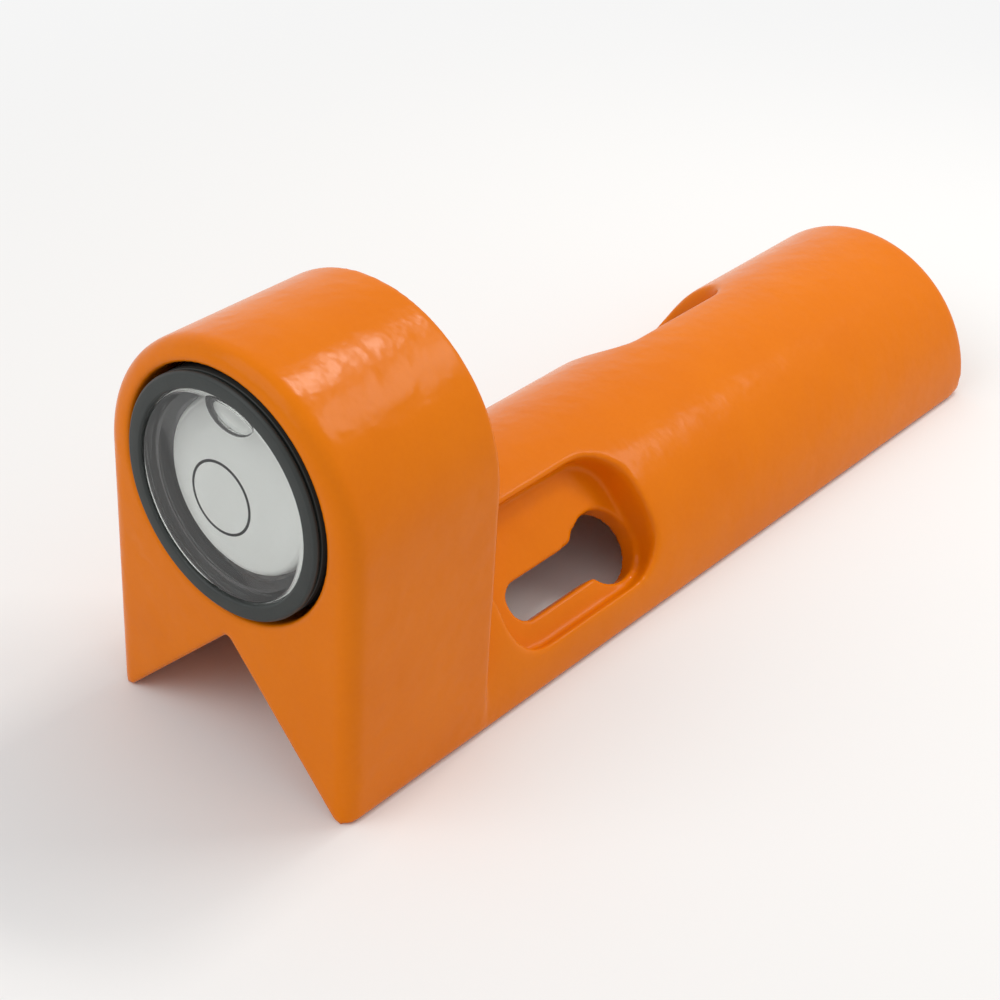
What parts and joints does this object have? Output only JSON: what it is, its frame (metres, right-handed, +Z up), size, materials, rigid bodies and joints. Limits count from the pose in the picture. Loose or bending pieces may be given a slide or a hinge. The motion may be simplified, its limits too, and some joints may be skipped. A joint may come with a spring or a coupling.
{
  "type": "right angle bubble level",
  "caption": "Cast pole level with a V groove, keyhole pockets for a strap and a circular bubble vial set square to the groove in its arched head.",
  "frame": {"origin": "under the middle of the level, on the surface that it lies on", "axes": "+Y back along the bar and the groove, from the vial's face to the far end; +Z up; +X across, towards the side whose pocket is next to the head"},
  "size_m": [0.04, 0.1404, 0.0557],
  "materials": {
    "orange_coat": "glossy orange powder coat with light orange peel",
    "black_anodised": "satin black anodised",
    "lens_clear": "clear polished",
    "black_ink": "printed line",
    "black_rubber": "matte",
    "white_disc": "matte white",
    "liquid": "clear liquid",
    "bubble_clear": "clear bubble",
    "plug_brass": "turned",
    "screw_steel": "zinc plated"
  },
  "bodies": {
    "body": {"body_casting": "orange_coat", "screw_washer_1": "screw_steel", "screw_washer_2": "screw_steel", "screw_washer_3": "screw_steel"},
    "top_screw": {"adjusting_screw_1": "screw_steel"},
    "left_screw": {"adjusting_screw_2": "screw_steel"},
    "right_screw": {"adjusting_screw_3": "screw_steel"},
    "bed": {"bed_ring": "black_rubber"},
    "vial": {"vial_cup": "black_anodised", "bezel_ring": "black_anodised", "lens": "lens_clear", "target_ring": "black_ink", "lens_gasket": "black_rubber", "reflector_disc": "white_disc", "fill_plug": "plug_brass"},
    "fluid": {"vial_fluid": "liquid"},
    "bubble": {"bubble": "bubble_clear"}
  },
  "joints": [
    {"name": "top_screw_turn", "type": "hinge", "parent": "body", "child": "top_screw", "pos_m": [0, -0.05485, 0.0464], "axis": [0, 1, 0], "range_deg": [-60, 60]},
    {"name": "left_screw_turn", "type": "hinge", "parent": "body", "child": "left_screw", "pos_m": [-0.00805, -0.05485, 0.03245], "axis": [0, 1, 0], "range_deg": [-60, 60]},
    {"name": "right_screw_turn", "type": "hinge", "parent": "body", "child": "right_screw", "pos_m": [0.00805, -0.05485, 0.03245], "axis": [0, 1, 0], "range_deg": [-60, 60]},
    {"name": "vial_tilt_up_down", "type": "hinge", "parent": "body", "child": "bed", "pos_m": [0, -0.05485, 0.0371], "axis": [1, 0, 0], "range_deg": [-0.51, 0.51]},
    {"name": "vial_tilt_side", "type": "hinge", "parent": "bed", "child": "vial", "pos_m": [0, -0.05485, 0.0371], "axis": [0, 0, 1], "range_deg": [-0.59, 0.59]},
    {"name": "fluid_swirl", "type": "hinge", "parent": "vial", "child": "fluid", "pos_m": [0, -0.05485, 0.0371], "axis": [0, 1, 0], "continuous": true, "stiffness_Nm_per_rad": 0.0002},
    {"name": "bubble_drift", "type": "slide", "parent": "fluid", "child": "bubble", "axis": [0, 0, -1], "range_m": [0, 0.01025], "stiffness_N_per_m": 10}
  ],
  "couplings": [
    {"joint": "top_screw_turn", "follows": "vial_tilt_up_down", "ratio": 116.87},
    {"joint": "left_screw_turn", "follows": "vial_tilt_side", "ratio": 101.21},
    {"joint": "right_screw_turn", "follows": "vial_tilt_side", "ratio": -101.21}
  ]
}
